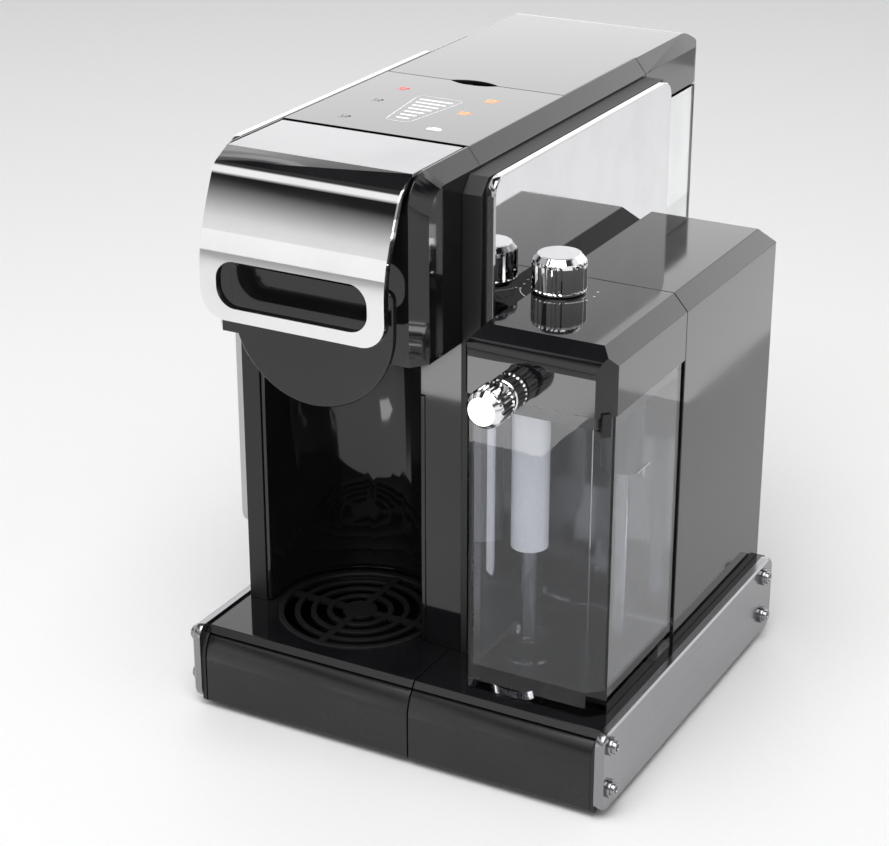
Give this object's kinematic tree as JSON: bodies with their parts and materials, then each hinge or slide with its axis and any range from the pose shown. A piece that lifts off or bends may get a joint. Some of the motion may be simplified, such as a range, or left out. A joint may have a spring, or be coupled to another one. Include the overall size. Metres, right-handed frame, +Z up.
{
  "type": "pod coffee machine",
  "caption": "Pod coffee machine with a flip-up lever, touch panel, rear water tank, side milk jug with dials, drip tray and capsule bin.",
  "frame": {"origin": "centre of the bounding box on the standing surface, under the rubber feet", "axes": "+X to the machine's right seen from the front, +Y to the back, +Z up; the lever and the cup niche face -Y"},
  "size_m": [0.258, 0.3714, 0.324],
  "materials": {
    "gloss_black": "piano black, high gloss",
    "black_plastic": "moulded, fine grain",
    "satin_black": "satin gloss",
    "chrome": "bright plated",
    "mirror_steel": "mirror polished",
    "steel": "polished plate",
    "silver": "satin silver",
    "glass_black": "black glass panel with printed icons",
    "tank_clear": "clear moulded plastic",
    "jug_clear": "clear blue-tinted plastic",
    "rubber": "moulded",
    "white_plastic": "moulded",
    "aluminium": "cast",
    "brass": "turned",
    "silicone": "translucent hose",
    "board": "circuit board"
  },
  "bodies": {
    "machine": {"base_chassis": "black_plastic", "rubber_feet": "rubber", "coffee_deck": "gloss_black", "milk_deck": "gloss_black", "front_panel_right": "satin_black", "side_plate_left": "steel", "side_plate_right": "steel", "side_plate_screws": "steel", "rear_base": "black_plastic", "power_inlet": "black_plastic", "body_core": "gloss_black", "core_roof": "gloss_black", "top_rails": "gloss_black", "wing_left": "black_plastic", "wing_right": "black_plastic", "panel_gaskets": "rubber", "side_panel_left": "mirror_steel", "side_panel_right": "mirror_steel", "head_housing": "gloss_black", "spout_cover": "gloss_black", "coffee_spout": "black_plastic", "control_panel": "glass_black", "control_board": "board", "brew_frame": "black_plastic", "capsule_chute": "black_plastic", "pump": "brass", "pump_mounts": "rubber", "flow_meter": "white_plastic", "thermoblock": "aluminium", "pressure_pipes": "steel", "steam_valve": "brass", "steam_hose": "silicone", "water_hose": "silicone", "tank_coupling": "rubber", "milk_housing": "gloss_black"},
    "drip_drawer": {"tray_front": "satin_black", "drip_tray": "black_plastic"},
    "cup_grid": {"drip_grid": "black_plastic"},
    "bin": {"capsule_bin": "gloss_black"},
    "lever": {"lever_front": "chrome", "lever_backing": "gloss_black", "lever_top_plate": "silver", "lever_pin": "steel"},
    "cage": {"capsule_cage": "black_plastic"},
    "tank": {"water_tank": "tank_clear", "lid_hinge_pin": "steel", "valve_cage": "white_plastic", "valve_spring": "steel"},
    "tank_cover": {"tank_lid": "gloss_black"},
    "outlet_valve": {"tank_valve": "rubber"},
    "jug": {"milk_jug": "jug_clear"},
    "jug_lid": {"milk_lid": "gloss_black", "lid_collar": "rubber", "lid_clip": "black_plastic", "tube_sleeve_white": "white_plastic", "tube_sleeve_dark": "black_plastic", "dip_tubes": "jug_clear"},
    "function_dial": {"function_knob": "chrome"},
    "froth_dial": {"froth_knob": "chrome", "froth_collar": "chrome"}
  },
  "joints": [
    {"name": "tray_slide", "type": "slide", "parent": "machine", "child": "drip_drawer", "axis": [0, -1, 0], "range_m": [0, 0.13]},
    {"name": "grid_lift", "type": "slide", "parent": "machine", "child": "cup_grid", "axis": [0, 0, 1], "range_m": [0, 0.03]},
    {"name": "bin_slide", "type": "slide", "parent": "machine", "child": "bin", "axis": [0, -1, 0], "range_m": [0, 0.19]},
    {"name": "lever_hinge", "type": "hinge", "parent": "machine", "child": "lever", "pos_m": [-0.0445, -0.10525, 0.3208], "axis": [-1, 0, 0], "range_deg": [0, 90]},
    {"name": "cage_slide", "type": "slide", "parent": "machine", "child": "cage", "axis": [0, 1, 0], "range_m": [0, 0.0325]},
    {"name": "tank_lift", "type": "slide", "parent": "machine", "child": "tank", "axis": [0, 0, 1], "range_m": [0, 0.2]},
    {"name": "tank_lid_hinge", "type": "hinge", "parent": "tank", "child": "tank_cover", "pos_m": [-0.0445, 0.18225, 0.2975], "axis": [-1, 0, 0], "range_deg": [0, 80]},
    {"name": "tank_valve_slide", "type": "slide", "parent": "tank", "child": "outlet_valve", "axis": [0, 0, 1], "range_m": [0, 0.003], "stiffness_N_per_m": 300, "deforming": ["valve_spring"]},
    {"name": "jug_slide", "type": "slide", "parent": "machine", "child": "jug", "axis": [0, -1, 0], "range_m": [0, 0.12]},
    {"name": "jug_lid_lift", "type": "slide", "parent": "jug", "child": "jug_lid", "axis": [0, 0, 1], "range_m": [0, 0.18]},
    {"name": "function_dial_turn", "type": "hinge", "parent": "jug_lid", "child": "function_dial", "pos_m": [0.0544, -0.08575, 0.2499], "axis": [0, 0, 1], "range_deg": [-60, 60]},
    {"name": "froth_dial_turn", "type": "hinge", "parent": "jug_lid", "child": "froth_dial", "pos_m": [0.0618, -0.15365, 0.2208], "axis": [0, -1, 0], "range_deg": [0, 180]}
  ],
  "couplings": [
    {"joint": "cage_slide", "follows": "lever_hinge", "m_per_rad": 0.020372}
  ]
}
